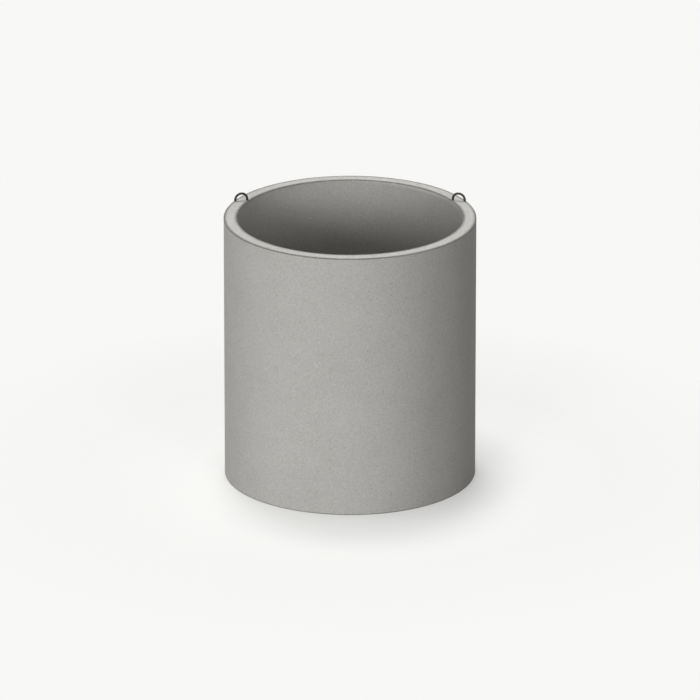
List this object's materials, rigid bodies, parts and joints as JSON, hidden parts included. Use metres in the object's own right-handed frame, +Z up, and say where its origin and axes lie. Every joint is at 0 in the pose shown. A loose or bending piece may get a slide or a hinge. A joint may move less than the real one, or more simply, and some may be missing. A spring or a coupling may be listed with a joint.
{
  "type": "concrete manhole ring",
  "caption": "Tall plain-ended concrete shaft ring for a manhole or well, a hollow cylinder with bent steel lifting loops cast into its upper rim.",
  "frame": {"origin": "centre of the lower rim, on the axis of the shaft, where the ring stands on level ground", "axes": "+Z up along the axis of the shaft; +X to the ring's right; +Y to its rear, where the lifting loops stand"},
  "size_m": [1.6798, 1.6798, 1.86],
  "materials": {
    "concrete": "matte",
    "loop_steel": "matte"
  },
  "bodies": {
    "root": {"ring": "concrete", "lifting_loop_right": "loop_steel", "lifting_loop_left": "loop_steel"}
  },
  "joints": []
}
